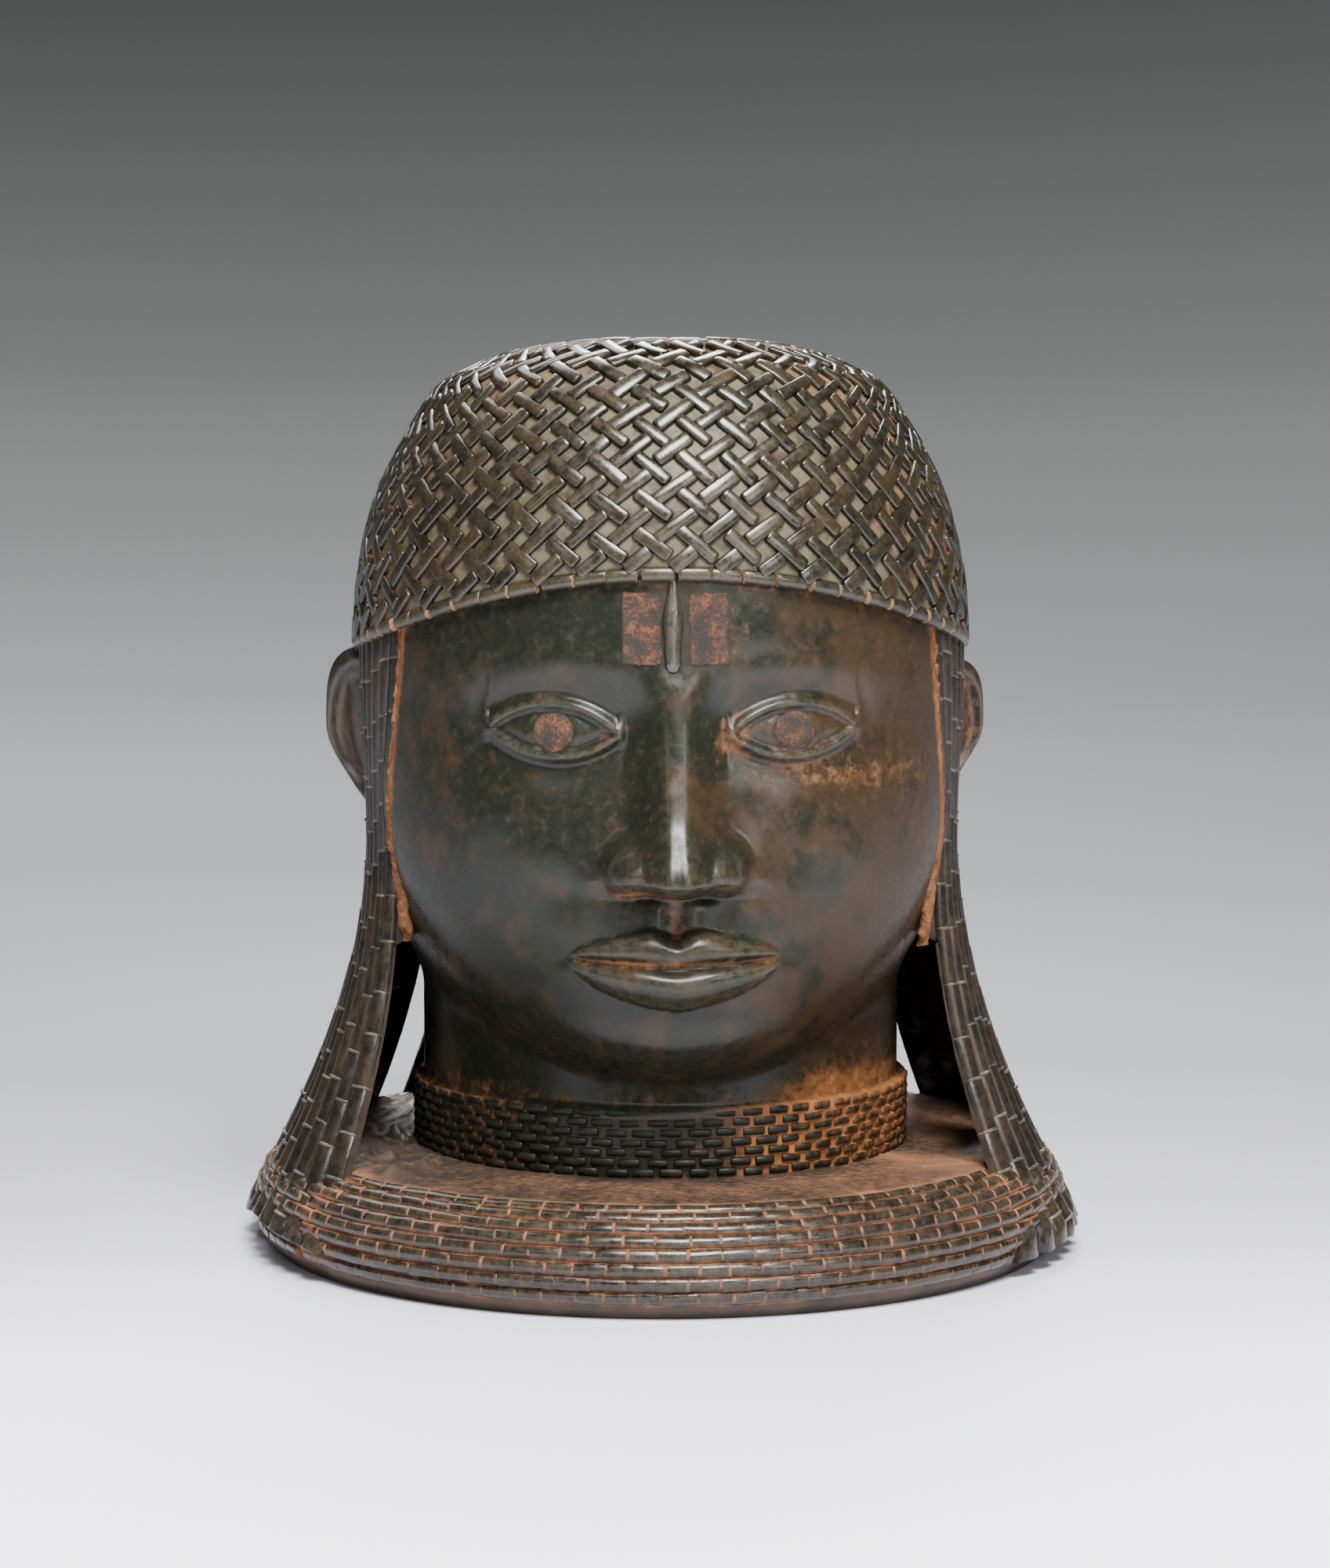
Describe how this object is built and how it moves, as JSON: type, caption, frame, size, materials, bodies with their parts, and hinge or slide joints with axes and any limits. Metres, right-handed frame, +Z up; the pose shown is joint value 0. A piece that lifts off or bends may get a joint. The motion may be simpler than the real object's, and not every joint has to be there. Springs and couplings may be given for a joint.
{
  "type": "benin bronze head",
  "caption": "Hollow cast brass commemorative head with a woven bead cap, hanging bead strands, a ribbed collar and a rolled base; stands on its base.",
  "frame": {"origin": "on the floor, under the middle of the rolled base", "axes": "+Z up, the face looks along -Y, +X to the viewer's right"},
  "size_m": [0.219, 0.2295, 0.235],
  "materials": {
    "cast_brass": "dark brown to greenish black patina with a soft shine, orange earth in the recesses",
    "iron_inlay": "rusted, granular and matt"
  },
  "bodies": {
    "root": {"head_casting": "cast_brass", "forehead_inlay_left": "iron_inlay", "forehead_inlay_right": "iron_inlay", "iris_inlay_left": "iron_inlay", "iris_inlay_right": "iron_inlay"}
  },
  "joints": []
}
